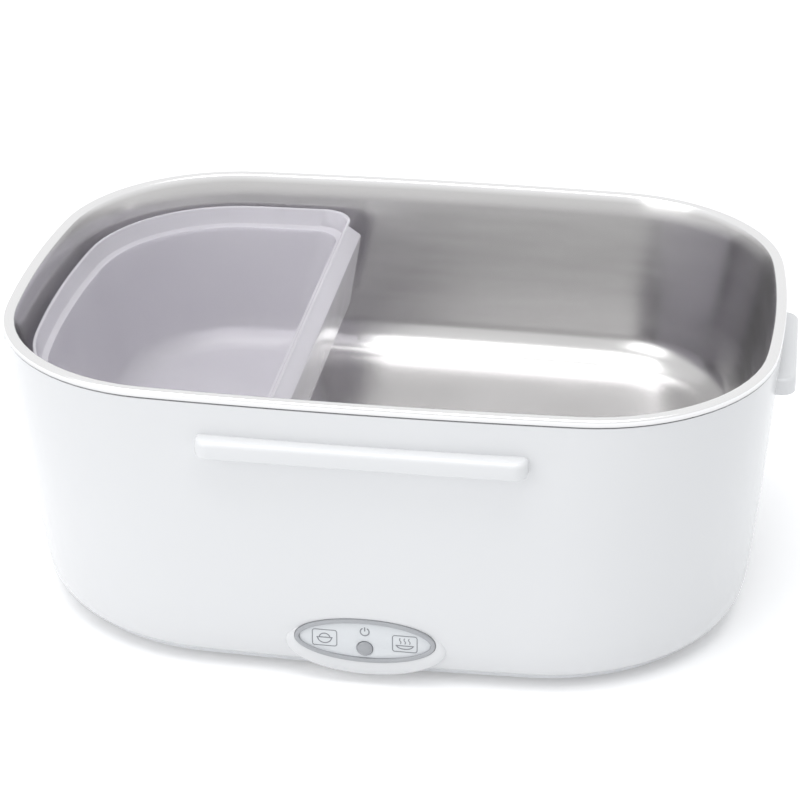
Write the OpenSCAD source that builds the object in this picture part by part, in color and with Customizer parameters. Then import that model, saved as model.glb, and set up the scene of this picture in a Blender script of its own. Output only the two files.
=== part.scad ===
// Electric lunch box: bowed white housing, heated base, steel container and divider tray.
// Millimetres. Origin: middle of the footprint on the table. X is the long way, -Y the front, +Z up.

/* [Body] */
// Width over the steel rim, left to right
body_w = 225; // [205:1:250]
// Depth over the steel rim, front to back
body_d = 163; // [152:1:185]
// Height of the steel rim above the table
rim_h = 91; // [88:0.5:110]
// Radius of the upright corners at the rim
corner_r = 54.3; // [48:0.1:58]
// Half of the angle that a bowed front or back side turns through, degrees
long_side_turn = 2.56; // [1.5:0.01:3]
// Half of the angle that a bowed end turns through, degrees
short_side_turn = 5.57; // [3:0.01:7]
// Inward lean of the outer wall, millimetres for each millimetre down
wall_lean = 0.073; // [0.05:0.001:0.09]
// How far the outer wall swells out of a straight line at mid height
wall_swell = 0.45; // [0:0.05:1]
// Height of the body's lower edge above the table
edge_h = 4.5; // [4:0.1:6]
// Height over which the lower edge is rounded in
foot_round_h = 10.2; // [8:0.1:14]
// Depth of that rounding
foot_round_d = 3.6; // [2.5:0.1:5]
// How much fuller the corners are at the lower edge than a plain offset would make them
corner_gain = 12.5; // [8:0.5:16]
// Thickness of the housing's wall
wall_t = 2.2; // [1.8:0.1:2.6]

/* [Lid catches] */
// Length of the catch ledges at the front and back
long_ledge_l = 91; // [60:0.2:110]
// Length of the catch ledges at the ends
short_ledge_l = 47; // [30:1:60]
// Height of a catch ledge's top above the table
ledge_top_h = 79.1; // [77:0.1:84]
// Height of a catch ledge
ledge_face_h = 5; // [4:0.1:8]
// How far a catch ledge stands out beyond the rim
ledge_out = 3.8; // [3:0.1:6]
// Radius of a ledge's upright corners
ledge_corner_r = 4; // [2:0.1:4.5]
// How far right of the middle the front panel and the long ledges sit
front_shift = 1.2; // [0:0.1:2]

/* [Steel container] */
// Thickness of the steel sheet
steel_t = 0.6; // [0.5:0.1:0.8]
// Width of the flat rim
rim_flat = 3.1; // [2.8:0.1:3.6]
// Drop of the rolled lip outside the rim
lip_drop = 2; // [1.4:0.1:3]
// Thickness of the rolled lip
lip_t = 0.8; // [0.6:0.1:1]
// Depth of the container inside
container_depth = 54; // [48:0.5:56]
// Lean of the container's walls from the upright, degrees
container_lean = 11; // [9:0.5:13]
// Radius between the container's walls and floor
floor_round = 12; // [8:0.5:14]
// Gap between the container and the well it sits in
well_gap = 0.45; // [0.35:0.05:0.6]

/* [Divider tray] */
// Depth of the tray's rim below the container's rim
tray_drop = 9; // [7:0.5:12]
// Gap between the tray's rim and the container's wall
tray_gap = 2.8; // [0.8:0.1:3.2]
// Place of the tray's straight wall, right of the middle
tray_wall_x = -26.5; // [-40:0.5:-15]
// Thickness of the tray's wall
tray_t = 1.2; // [1:0.1:1.6]
// Height of the tray's flared rim band
tray_band_h = 5.5; // [4:0.5:7]
// Width of the step under the flared band
tray_step = 1.8; // [1:0.1:2.4]
// Radius of the tray's two corners at the straight wall
tray_corner_r = 9; // [8:0.5:12]
// Radius between the tray's walls and floor
tray_floor_round = 6; // [4:0.5:7]
// Length of the flange along the tray's straight wall
tray_flange_l = 122; // [100:1:124]
// Width of that flange
tray_flange_w = 4; // [3:0.1:5]
// Depth of the skirt that hangs from the flange
tray_skirt_h = 24; // [10:0.5:26]

/* [Heater] */
// Length of the heating plate
plate_l = 140; // [136:1:144]
// Width of the heating plate
plate_w = 96; // [92:1:98]
// Thickness of the heating plate
plate_t = 3; // [2.5:0.1:3.2]
// Thickness of the seal under the plate
seal_t = 0.7; // [0.5:0.1:1]
// Overlap of the plate and the liner's floor
plate_lap = 8; // [6:0.5:9]
// Length of a ceramic heater
heater_l = 48; // [40:1:48]
// Width of a ceramic heater
heater_w = 22; // [18:1:24]
// Thickness of a ceramic heater
heater_t = 5.5; // [4.5:0.1:6]
// Distance of each heater from the middle
heater_x = 36; // [36:0.5:37]
// Thickness of the spring strips that hold the heaters
strip_t = 0.8; // [0.6:0.1:1]
// Thickness of the insulating pad
pad_t = 4; // [3:0.5:5]
// Thickness of the heat shield
shield_t = 0.6; // [0.5:0.1:0.8]

/* [Liner] */
// Thickness of the inner liner
liner_t = 1.8; // [1.5:0.1:2]
// Height of the seam between the housing's rim band and the liner
seam_h = 75; // [73:0.5:76]

/* [Base] */
// Thickness of the base cover
base_t = 2.2; // [2:0.1:2.4]
// Inset of the base cover from the body's lower edge
base_inset = 1.5; // [1:0.1:2]
// Diameter of a rubber foot
foot_d = 14; // [10:0.5:16]
// Thickness of a rubber foot
foot_t = 3.5; // [3.2:0.1:3.8]
// Distance of the feet from the middle, left and right
foot_x = 60; // [54:1:64]
// Distance of the feet from the middle, front and back
foot_y = 50; // [46:1:51]
// Distance of the base screws from the middle, left and right
screw_x = 76; // [72:0.5:77]
// Distance of the base screws from the middle, front and back
screw_y = 43; // [40:0.5:44]
// Diameter of a housing screw
screw_d = 3; // [2.5:0.1:3.2]

/* [Front panel] */
// Length of the oval ring
ring_l = 40.5; // [34:0.5:44]
// Height of the oval ring
ring_h = 14.2; // [12:0.1:15]
// Width of the ring's band
ring_band = 1.4; // [1:0.1:1.8]
// Height of the panel's middle above the table
panel_h = 15; // [14:0.1:16]
// Length of the white oval boss behind the ring
boss_l = 46; // [45:0.5:52]
// Height of that boss
boss_h = 19; // [17.6:0.1:20]
// Drop of the boss's middle below the panel's middle
boss_drop = 2.3; // [1.4:0.1:2.6]
// How far the panel's face stands out in front of the wall's lower part
boss_out = 0.8; // [0.6:0.1:1.6]
// Diameter of the indicator's lens
lens_d = 5; // [4:0.1:5.4]
// Drop of the lens below the panel's middle
lens_drop = 2.6; // [2:0.1:3]

/* [Power inlet] */
// Distance between the two inlet pins
pin_pitch = 8.6; // [8:0.1:9]
// Diameter of an inlet pin
pin_d = 2.4; // [2.2:0.1:2.6]
// Diameter of each lobe of the inlet's socket
socket_lobe_d = 8.5; // [8:0.1:9]
// Depth of the inlet's socket
socket_depth = 12; // [10:0.5:13]
// Drop of the inlet's middle below the liner's floor
inlet_drop = 7.1; // [6.8:0.1:8.5]
// Wall of the inlet's housing
inlet_t = 2; // [1.6:0.1:2.4]

/* [Hidden] */

white = [0.95, 0.95, 0.96];
steel = [0.74, 0.74, 0.76];
zinc = [0.66, 0.67, 0.70];
dark = [0.12, 0.12, 0.13];

$fn = 128;
sweep_fn = 256;
joint_gap = 0.3;
half_w = body_w / 2;
half_d = body_d / 2;

// ---- outline of eight tangent arcs: two ends, two long sides and four corners ----
function corner_reach(a, b, r) =
    let (be = long_side_turn, ga = short_side_turn,
         det = sin(be) * sin(ga) - (1 - cos(ga)) * (1 - cos(be)))
    [((a - r) * sin(ga) - (b - r) * (1 - cos(ga))) / det,
     ((b - r) * sin(be) - (a - r) * (1 - cos(be))) / det];

// Each arc is [centre x, centre y, radius, start angle, turn]
function outline_arcs(a, b, r) =
    let (be = long_side_turn, ga = short_side_turn, reach = corner_reach(a, b, r),
         rl = reach[0] + r, rs = reach[1] + r,
         cx = reach[0] * sin(be), cy = reach[1] * sin(ga), turn = 90 - be - ga)
    [[a - rs, 0, rs, -ga, 2 * ga],
     [cx, cy, r, ga, turn],
     [0, b - rl, rl, 90 - be, 2 * be],
     [-cx, cy, r, 90 + be, turn],
     [rs - a, 0, rs, 180 - ga, 2 * ga],
     [-cx, -cy, r, 180 + ga, turn],
     [0, rl - b, rl, 270 - be, 2 * be],
     [cx, -cy, r, 270 + be, turn]];

function arc_points(arc, steps) =
    [for (i = [0:steps - 1]) let (t = arc[3] + arc[4] * i / steps)
        [arc[0] + arc[2] * cos(t), arc[1] + arc[2] * sin(t)]];

function outline_points(a, b, r, grow = 0) =
    [for (arc = outline_arcs(a, b, r))
        each arc_points([arc[0], arc[1], arc[2] + grow, arc[3], arc[4]], arc[4] > 20 ? 15 : 4)];

// Profile points are [distance outside the rim's outline, height]
module sweep_arcs(arcs) {
    for (arc = arcs)
        translate([arc[0], arc[1], 0])
            rotate([0, 0, arc[3]])
                rotate_extrude(angle = arc[4], $fn = sweep_fn)
                    translate([arc[2], 0])
                        children();
}

rim_arcs = outline_arcs(half_w, half_d, corner_r);

module sweep_rim(profile) {
    sweep_arcs(rim_arcs)
        polygon(profile);
}

// Flat plate bounded by the rim's outline moved by grow
module rim_plate(grow, low, high) {
    translate([0, 0, low])
        linear_extrude(high - low)
            polygon(outline_points(half_w, half_d, corner_r, grow));
}

function arc_profile(cx, cz, r, from, to, steps = 6) =
    [for (i = [0:steps]) let (t = from + (to - from) * i / steps) [cx + r * cos(t), cz + r * sin(t)]];

// Rounding between a leaning wall through [x0, z0] and a floor at floor_z, from the wall to the floor
function floor_profile(x0, z0, lean, floor_z, r) =
    let (cz = floor_z + r, cx = x0 - tan(lean) * (z0 - cz) - r / cos(lean))
    arc_profile(cx, cz, r, -lean, -90);

function reversed(list) = [for (i = [len(list) - 1:-1:0]) list[i]];

// ---- heights ----
container_floor_top = rim_h - container_depth;
container_floor_low = container_floor_top - steel_t;
land_h = rim_h - steel_t;
plate_top = container_floor_low - joint_gap;
plate_low = plate_top - plate_t;
liner_floor_top = plate_low - seal_t;
liner_floor_low = liner_floor_top - liner_t;
heater_low = plate_low - heater_t;
strip_low = heater_low - strip_t;
pad_top = strip_low - joint_gap;
shield_top = pad_top - pad_t;
shield_low = shield_top - shield_t;
base_low = edge_h - base_t;
cup_top = edge_h + 3.5;
lean_t = tan(container_lean);

// ---- outer wall ----
function wall_inset(z) =
    let (h = (rim_h - z) / (rim_h - edge_h - foot_round_h), hc = min(h, 1),
         u = max(0, min(1, (foot_round_h - (z - edge_h)) / foot_round_h)))
    wall_lean * (rim_h - z) - wall_swell * 4 * hc * (1 - hc) + foot_round_d * (1 - sqrt(1 - u * u));

function wall_corner(z) = corner_r - wall_inset(z) + corner_gain * (rim_h - z) / (rim_h - edge_h);

// Layer of the body at height z, inset further by skin
module body_layer(z, skin) {
    inset = wall_inset(z) + skin;
    translate([0, 0, z])
        linear_extrude(0.01)
            polygon(outline_points(half_w - inset, half_d - inset, wall_corner(z) - skin));
}

module body_form(levels, skin) {
    hull()
        for (z = levels)
            body_layer(z, skin);
}

function rounding_levels(count) =
    [for (i = [0:count]) edge_h + foot_round_h * (1 - cos(90 * (1 - i / count)))];

swell_levels = [for (i = [1:4]) edge_h + foot_round_h + (land_h - edge_h - foot_round_h) * i / 4 - 0.01];
outer_levels = concat(rounding_levels(6), swell_levels);
cavity_low = edge_h + wall_t;
cavity_levels = [cavity_low, cavity_low + 2.5, edge_h + foot_round_h, 40, seam_h - 0.01];

// Inner face of the well that the container drops into
well_top_x = steel_t / cos(container_lean) - rim_flat + well_gap;
function well_x(z) = well_top_x - lean_t * (rim_h - z);

lip_clear_x = -lip_t - 0.35;
rebate_h = rim_h - lip_drop - 0.4;
opening_inset = 2 * base_inset;

module base_outline(inset, low, high) {
    edge_inset = wall_inset(edge_h) + inset;
    translate([0, 0, low])
        linear_extrude(high - low)
            polygon(outline_points(half_w - edge_inset, half_d - edge_inset, wall_corner(edge_h) - inset));
}

// ---- catch ledges ----
ledge_round = 1.6;
ledge_low = ledge_top_h - ledge_face_h;

// Bar whose face points to -Y: its plan, cut to its side view
module ledge_bar(length, face_y, root_y) {
    r = ledge_corner_r;
    depth = root_y - face_y;
    intersection() {
        translate([0, face_y, ledge_low - 1])
            linear_extrude(ledge_face_h + 2) {
                translate([r - length / 2, 0])
                    square([length - 2 * r, depth]);
                translate([-length / 2, r])
                    square([length, depth - r]);
                for (side = [-1, 1])
                    translate([side * (length / 2 - r), r])
                        circle(r);
            }
        rotate([90, 0, 90])
            translate([0, 0, -length])
                linear_extrude(2 * length)
                    polygon(concat(
                        [[face_y - 0.01, ledge_low + 0.3], [face_y + 0.3, ledge_low], [root_y + 1, ledge_low]],
                        [[root_y + 1, ledge_top_h]],
                        arc_profile(face_y + ledge_round, ledge_top_h - ledge_round, ledge_round + 0.01, 90, 180, 5)
                    ));
    }
}

module catch_ledges() {
    mid_inset = wall_inset(ledge_low);
    for (side = [0, 180])
        rotate([0, 0, side])
            translate([side == 0 ? front_shift : -front_shift, 0, 0])
                ledge_bar(long_ledge_l, -half_d - ledge_out, mid_inset + 1.3 - half_d);
    for (side = [90, 270])
        rotate([0, 0, side])
            ledge_bar(short_ledge_l, -half_w - ledge_out, mid_inset + 1.6 - half_w);
}

// ---- front panel ----
panel_y = wall_inset(panel_h) - half_d - boss_out;
ring_t = 1;
board_x = 32;
board_z = 15;
board_t = 1.6;
led_gap = 5.2;
board_depth = led_gap + 3;
board_post_x = 12.5;
board_post_d = 5;

// Local frame of the panel: X right, Y up, Z out of the face
module at_panel(depth = 0) {
    translate([front_shift, panel_y, panel_h])
        rotate([90, 0, 0])
            translate([0, 0, -depth])
                children();
}

function panel_point(x, y, depth) = [front_shift + x, panel_y + depth, panel_h + y];

module oval(length, height, thick) {
    linear_extrude(thick)
        polygon([for (i = [0:71]) [length / 2 * cos(5 * i), height / 2 * sin(5 * i)]]);
}

module boss_oval(depth, shrink, thick) {
    at_panel(depth)
        translate([0, -boss_drop, 0])
            oval(boss_l - shrink, boss_h - shrink, thick);
}

module panel_boss() {
    root = 6.5;
    edge = 1;
    boss_oval(root, 0, root - edge);
    hull() {
        boss_oval(edge, 0, 0.01);
        boss_oval(edge / 3, edge, 0.01);
        boss_oval(0, 2.6 * edge, 0.001);
    }
}

// ---- power inlet ----
inlet_h = liner_floor_low - inlet_drop;
inlet_face = half_d - wall_inset(inlet_h);
inlet_sink = 1;
inlet_front = inlet_face - inlet_sink;
socket_l = pin_pitch + socket_lobe_d;
nose_l = socket_l + 2 * inlet_t;
nose_h = socket_lobe_d + 2 * inlet_t;
flange_l = nose_l + 18;
flange_h = nose_h + 2;
flange_t = 2.4;
pad_face = inlet_face - wall_t - 2;
inlet_screw_x = nose_l / 2 + 5;
inlet_screw_d = 2.6;
inlet_screw_l = 5;
inlet_back = inlet_front - socket_depth - inlet_t;
tab_l = 7;

module slot_shape(length, height) {
    square([length - height, height], center = true);
    for (side = [-1, 1])
        translate([side * (length - height) / 2, 0])
            circle(d = height);
}

// Local frame of the inlet: X across, Y up, Z out of the back of the body
module at_inlet(y) {
    translate([0, y, inlet_h])
        rotate([-90, 0, 0])
            children();
}

// ---- one housing ----
module outer_shell() {
    color(white)
        difference() {
            union() {
                difference() {
                    body_form(outer_levels, 0);
                    body_form(cavity_levels, wall_t);
                    base_outline(opening_inset, edge_h - 1, cavity_low + 1);
                }
                catch_ledges();
                panel_boss();
                at_inlet(pad_face)
                    linear_extrude(inlet_face - 0.6 - pad_face)
                        square([flange_l, flange_h], center = true);
                for (side = [-1, 1])
                    at_panel(board_depth)
                        translate([side * board_post_x, 0, 0])
                            cylinder(d = board_post_d, h = board_depth - 1);
            }
            // well for the container
            hull()
                for (z = [seam_h - 1, rim_h + 1])
                    rim_plate(well_x(z), z, z + 0.01);
            // rebate for the container's rolled lip
            difference() {
                translate([-body_w, -body_d, rebate_h])
                    cube([2 * body_w, 2 * body_d, rim_h]);
                rim_plate(lip_clear_x, rebate_h - 1, rim_h + 1);
            }
            // hollow of the panel's boss, round the two board posts
            difference() {
                boss_oval(14, 2 * wall_t, 14 - wall_t);
                for (side = [-1, 1])
                    at_panel(board_depth)
                        translate([side * board_post_x, 0, 0])
                            cylinder(d = board_post_d, h = board_depth);
            }
            base_outline(base_inset - joint_gap, -1, edge_h);
            // seat of the ring and plate, and the light hole
            at_panel(ring_t)
                oval(ring_l, ring_h, 3);
            at_panel(6)
                translate([0, -lens_drop, 0])
                    cylinder(d = lens_d - 1, h = 8);
            for (side = [-1, 1])
                at_panel(board_depth + 0.1)
                    translate([side * board_post_x, 0, 0])
                        cylinder(d = board_screw_d, h = board_screw_l + 0.5);
            // way through for the inlet's nose, and its screw holes
            at_inlet(pad_face - 1)
                linear_extrude(inlet_face - pad_face + 3)
                    slot_shape(nose_l + 0.4, nose_h + 0.4);
            for (side = [-1, 1])
                at_inlet(pad_face - 0.1)
                    translate([side * inlet_screw_x, 0, 0])
                        cylinder(d = inlet_screw_d, h = inlet_screw_l - flange_t + 0.4);
        }
}

// ---- liner: the well below the seam ----
liner_round = 9;
post_d = 9;
shield_post_x = 69;
shield_post_y = 27;
shield_post_d = 7;
seat_x = -24;
seat_rise = 0.4;

module inner_liner() {
    skin = liner_t / cos(container_lean);
    inner = floor_profile(well_x(seam_h), seam_h, container_lean, liner_floor_top - seat_rise, liner_round);
    outer = floor_profile(well_x(seam_h) + skin, seam_h, container_lean, liner_floor_low, liner_round + liner_t);
    // the housing's corners are fuller than the rim's, so the liner keeps clear of them all round
    fuller = 0.42 * corner_gain * (rim_h - seam_h) / (rim_h - edge_h);
    top_x = -wall_inset(seam_h) - wall_t - joint_gap - fuller;
    color(white)
        difference() {
            union() {
                sweep_rim(concat(
                    [[well_x(seam_h), seam_h]], inner,
                    [[seat_x - 4, liner_floor_top - seat_rise], [seat_x - 4, liner_floor_low]],
                    reversed(outer),
                    [[top_x, seam_h]]
                ));
                // raised seat that the plate's seal lies on
                rim_plate(seat_x, liner_floor_low - seat_rise, liner_floor_top);
                for (x = [-1, 1], y = [-1, 1]) {
                    translate([x * screw_x, y * screw_y, cup_top])
                        cylinder(d = post_d, h = liner_floor_top - 1 - cup_top);
                    translate([x * shield_post_x, y * shield_post_y, shield_top])
                        cylinder(d = shield_post_d, h = liner_floor_top - 1 - shield_top);
                }
            }
            translate([0, 0, liner_floor_low - 1])
                round_plate(
                    plate_l - 2 * plate_lap, plate_w - 2 * plate_lap, plate_round - plate_lap, liner_t + 2
                );
            for (x = [-1, 1], y = [-1, 1]) {
                translate([x * screw_x, y * screw_y, cup_top - 1])
                    cylinder(d = screw_d, h = base_screw_l + 1);
                translate([x * shield_post_x, y * shield_post_y, shield_top - 1])
                    cylinder(d = screw_d, h = short_screw_l + 1);
            }
        }
}

// ---- heating ----
plate_round = 30;
base_screw_l = 12;
short_screw_l = 5.5;
plate_screw_l = 3;
clip_foot = 9;
clip_w = 12;
clip_screw_y = heater_w / 2 + joint_gap + strip_t + clip_foot / 2;
head_h = 1.8;
head_d = 5.6;

module round_plate(length, width, r, thick) {
    linear_extrude(thick) {
        square([length - 2 * r, width], center = true);
        square([length, width - 2 * r], center = true);
        for (x = [-1, 1], y = [-1, 1])
            translate([x * (length / 2 - r), y * (width / 2 - r)])
                circle(r);
    }
}

// Pan-head screw that points up from the origin, with its head below
module screw(d, length, head = head_d, high = head_h) {
    cylinder(d = d - 0.2, h = length);
    difference() {
        translate([0, 0, -high])
            cylinder(d = head, h = high);
        for (turn = [0, 90])
            rotate([0, 0, turn])
                translate([0, 0, -high])
                    cube([head * 0.6, 0.8, 1.6], center = true);
    }
}

module clip_holes() {
    for (x = [-1, 1], y = [-1, 1])
        translate([x * heater_x, y * clip_screw_y, 0])
            children();
}

sensor_y = 15;
thermostat_l = 20;
thermostat_w = 7.5;
thermostat_t = 4.1;
fuse_d = 4;
fuse_l = 12;
sensor_foot = 6;
function sensor_screw_x(width) = width / 2 + joint_gap + strip_t + sensor_foot / 2;

module sensor_holes() {
    for (x = [-1, 1]) {
        translate([x * sensor_screw_x(thermostat_w), sensor_y, 0])
            children();
        translate([x * sensor_screw_x(fuse_d), -sensor_y, 0])
            children();
    }
}

module heating_plate() {
    color([0.80, 0.81, 0.83])
        difference() {
            translate([0, 0, plate_low])
                round_plate(plate_l, plate_w, plate_round, plate_t);
            translate([0, 0, plate_low - 1]) {
                clip_holes()
                    cylinder(d = screw_d, h = plate_screw_l - strip_t + 1.2);
                sensor_holes()
                    cylinder(d = screw_d, h = plate_screw_l - strip_t + 1.2);
            }
        }
}

module plate_seal() {
    color([0.75, 0.30, 0.25])
        translate([0, 0, liner_floor_top])
            difference() {
                round_plate(plate_l, plate_w, plate_round, seal_t);
                translate([0, 0, -1])
                    round_plate(
                        plate_l - 2 * plate_lap + 2, plate_w - 2 * plate_lap + 2,
                        plate_round - plate_lap + 1, seal_t + 2
                    );
            }
}

module ceramic_heaters() {
    fins = 5;
    color([0.86, 0.86, 0.88])
        for (x = [-1, 1])
            translate([x * heater_x, 0, heater_low])
                difference() {
                    translate([-heater_l / 2, -heater_w / 2, 0])
                        cube([heater_l, heater_w, heater_t]);
                    // open ends of the aluminium tube round the ceramic core
                    for (end = [-1, 1])
                        translate([end * heater_l / 2, 0, heater_t / 2])
                            cube([3, heater_w - 4, heater_t - 2.4], center = true);
                    for (i = [0:fins - 1])
                        translate([(i - (fins - 1) / 2) * heater_l / fins, 0, 0])
                            for (side = [-1, 1])
                                translate([0, side * heater_w / 2, heater_t / 2])
                                    cube([heater_l / fins - 2, 1, 1], center = true);
                }
}

// Strip bent over something of the given size against the plate: it spans across Y
module bent_strip(inner_w, inner_h, wide, foot) {
    gap = joint_gap;
    low = -inner_h - strip_t;
    for (side = [-1, 1]) {
        translate([-wide / 2, side > 0 ? inner_w / 2 + gap : -inner_w / 2 - gap - strip_t, low])
            cube([wide, strip_t, inner_h + strip_t]);
        difference() {
            translate([-wide / 2, side > 0 ? inner_w / 2 + gap : -inner_w / 2 - gap - strip_t - foot, -strip_t])
                cube([wide, strip_t + foot, strip_t]);
            translate([0, side * (inner_w / 2 + gap + strip_t + foot / 2), -strip_t - 1])
                cylinder(d = screw_d + 0.3, h = strip_t + 2);
        }
    }
    translate([-wide / 2, -inner_w / 2 - gap - strip_t, low])
        cube([wide, inner_w + 2 * gap + 2 * strip_t, strip_t]);
}

module heater_clips() {
    color(zinc)
        for (x = [-1, 1])
            translate([x * heater_x, 0, plate_low])
                bent_strip(heater_w, heater_t, clip_w, clip_foot);
}

module heater_clip_screws() {
    color(zinc)
        clip_holes()
            translate([0, 0, plate_low - strip_t])
                screw(screw_d, plate_screw_l);
}

module thermostat() {
    color([0.80, 0.78, 0.70])
        translate([0, sensor_y, plate_low - thermostat_t]) {
            translate([-thermostat_w / 2, -thermostat_l / 2, 0])
                cube([thermostat_w, thermostat_l, thermostat_t]);
            for (side = [-1, 1])
                translate([0, side * thermostat_l / 2, thermostat_t / 2])
                    rotate([side > 0 ? -90 : 90, 0, 0])
                        cylinder(d = 2.4, h = 3, $fn = 32);
        }
}

module thermal_fuse() {
    color([0.90, 0.90, 0.86])
        translate([0, -sensor_y, plate_low - fuse_d / 2])
            rotate([90, 0, 0]) {
                translate([0, 0, -fuse_l / 2])
                    cylinder(d = fuse_d, h = fuse_l);
                translate([0, 0, -fuse_l / 2 - 4])
                    cylinder(d = 1.6, h = fuse_l + 8, $fn = 32);
            }
}

module sensor_clips() {
    color(zinc) {
        translate([0, sensor_y, plate_low])
            rotate([0, 0, 90])
                bent_strip(thermostat_w, thermostat_t, 8, sensor_foot);
        translate([0, -sensor_y, plate_low])
            rotate([0, 0, 90])
                bent_strip(fuse_d, fuse_d, 6, sensor_foot);
    }
}

module sensor_clip_screws() {
    color(zinc)
        sensor_holes()
            translate([0, 0, plate_low - strip_t])
                screw(screw_d, plate_screw_l, 5);
}

shield_l = 2 * shield_post_x + 12;
shield_w = 2 * shield_post_y + 12;

module at_shield_posts() {
    for (x = [-1, 1], y = [-1, 1])
        translate([x * shield_post_x, y * shield_post_y, 0])
            children();
}

module heat_shield() {
    color([0.78, 0.79, 0.81])
        difference() {
            translate([0, 0, shield_low])
                round_plate(shield_l, shield_w, 6, shield_t);
            at_shield_posts()
                translate([0, 0, shield_low - 1])
                    cylinder(d = screw_d + 0.4, h = shield_t + 2);
        }
}

module insulation_pad() {
    color([0.93, 0.90, 0.80])
        translate([0, 0, shield_top])
            round_plate(2 * shield_post_x - 18, shield_w - 2, 4, pad_t);
}

module shield_screws() {
    color(zinc)
        at_shield_posts()
            translate([0, 0, shield_low])
                screw(screw_d, short_screw_l);
}

// ---- base ----
cup_d = 11;
cup_web = 2;
skirt_t = 1.6;
foot_seat = foot_t - base_low;

module base_cover() {
    rib_top = edge_h + 2;
    color(white)
        difference() {
            union() {
                base_outline(base_inset, base_low, edge_h);
                difference() {
                    base_outline(opening_inset + joint_gap, edge_h - 0.5, edge_h + 2.6);
                    base_outline(opening_inset + joint_gap + skirt_t, edge_h - 1, edge_h + 4);
                }
                for (x = [-1, 1], y = [-1, 1])
                    translate([x * screw_x, y * screw_y, base_low])
                        cylinder(d = cup_d, h = cup_top - base_low);
                for (x = [-1, 1], y = [-1, 1])
                    translate([x * foot_x, y * foot_y, base_low])
                        cylinder(d = foot_d + 4, h = rib_top - base_low);
                for (i = [-1, 0, 1])
                    translate([i * 22 - 0.8, -52, edge_h - 0.5])
                        cube([1.6, 104, rib_top - edge_h + 0.5]);
            }
            for (x = [-1, 1], y = [-1, 1]) {
                translate([x * screw_x, y * screw_y, base_low - 1])
                    cylinder(d = head_d + 1, h = cup_top - cup_web - base_low + 1);
                translate([x * screw_x, y * screw_y, base_low - 1])
                    cylinder(d = screw_d + 0.4, h = cup_top);
                translate([x * foot_x, y * foot_y, base_low - 1])
                    cylinder(d = foot_d + 0.4, h = foot_seat + 1);
            }
            // cooling slots
            for (i = [-3:3], side = [-1, 1])
                translate([side * 44, i * 7, base_low - 1])
                    linear_extrude(base_t + 6)
                        slot_shape(30, 2.4);
        }
}

module base_screws() {
    color(zinc)
        for (x = [-1, 1], y = [-1, 1])
            translate([x * screw_x, y * screw_y, cup_top - cup_web])
                screw(screw_d, base_screw_l);
}

module rubber_feet() {
    soft = 0.6;
    color([0.30, 0.30, 0.31])
        for (x = [-1, 1], y = [-1, 1])
            translate([x * foot_x, y * foot_y, 0])
                rotate_extrude()
                    polygon([
                        [0, 0], [foot_d / 2 - soft - 0.4, 0], [foot_d / 2 - 0.4, soft], [foot_d / 2, base_low],
                        [foot_d / 2, foot_t], [0, foot_t]
                    ]);
}

// ---- power inlet ----
module power_inlet() {
    color(dark)
        difference() {
            union() {
                at_inlet(inlet_back)
                    linear_extrude(inlet_front - inlet_back)
                        slot_shape(nose_l, nose_h);
                at_inlet(pad_face - flange_t)
                    linear_extrude(flange_t)
                        square([flange_l, flange_h], center = true);
            }
            at_inlet(inlet_front - socket_depth)
                linear_extrude(socket_depth + 1) {
                    for (side = [-1, 1])
                        translate([side * pin_pitch / 2, 0])
                            circle(d = socket_lobe_d);
                    square([pin_pitch, socket_lobe_d - 1.5], center = true);
                }
            for (side = [-1, 1]) {
                at_inlet(inlet_back - 1)
                    translate([side * pin_pitch / 2, 0, 0])
                        cylinder(d = pin_d, h = inlet_t + 2);
                at_inlet(pad_face - flange_t - 1)
                    translate([side * inlet_screw_x, 0, 0])
                        cylinder(d = inlet_screw_d + 0.4, h = flange_t + 2);
            }
        }
}

module inlet_pins() {
    reach = 9;
    color([0.80, 0.76, 0.62])
        for (side = [-1, 1]) {
            at_inlet(inlet_back)
                translate([side * pin_pitch / 2, 0, 0]) {
                    cylinder(d = pin_d, h = inlet_t + reach);
                    translate([0, 0, inlet_t + reach])
                        sphere(d = pin_d);
                }
            at_inlet(inlet_back - tab_l)
                translate([side * pin_pitch / 2, 0, tab_l / 2])
                    cube([0.8, 4.8, tab_l], center = true);
        }
}

module inlet_screws() {
    color(zinc)
        for (side = [-1, 1])
            at_inlet(pad_face - flange_t)
                translate([side * inlet_screw_x, 0, 0])
                    screw(inlet_screw_d, inlet_screw_l, 4.6, 1.6);
}

crimp_l = 9;
crimp_d = 6;
crimp_back = inlet_back - 1.6 - crimp_l;

module crimp_terminals() {
    color([0.62, 0.20, 0.18])
        for (side = [-1, 1])
            difference() {
                at_inlet(crimp_back)
                    translate([side * pin_pitch / 2, 0, 0])
                        cylinder(d = crimp_d, h = crimp_l);
                at_inlet(inlet_back - tab_l)
                    translate([side * pin_pitch / 2, 0, tab_l / 2])
                        cube([0.8, 4.8, tab_l], center = true);
            }
}

// ---- indicator ----
board_screw_d = 2;
board_screw_l = 5;
led_d = 3;

module indicator_board() {
    color([0.16, 0.42, 0.24])
        difference() {
            at_panel(board_depth + board_t)
                translate([-board_x / 2, -board_z / 2, 0])
                    cube([board_x, board_z, board_t]);
            for (side = [-1, 1])
                at_panel(board_depth + board_t + 1)
                    translate([side * board_post_x, 0, 0])
                        cylinder(d = board_screw_d + 0.4, h = board_t + 2);
        }
}

module board_screws() {
    color(zinc)
        for (side = [-1, 1])
            at_panel(board_depth + board_t)
                translate([side * board_post_x, 0, 0])
                    screw(board_screw_d, board_screw_l, 3.8, 1.2);
}

module indicator_led() {
    dome = 3;
    color([0.90, 0.92, 0.90])
        at_panel(board_depth)
            translate([0, -lens_drop, 0]) {
                cylinder(d = led_d + 0.8, h = 1);
                cylinder(d = led_d, h = dome);
                translate([0, 0, dome])
                    sphere(d = led_d);
            }
}

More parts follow.
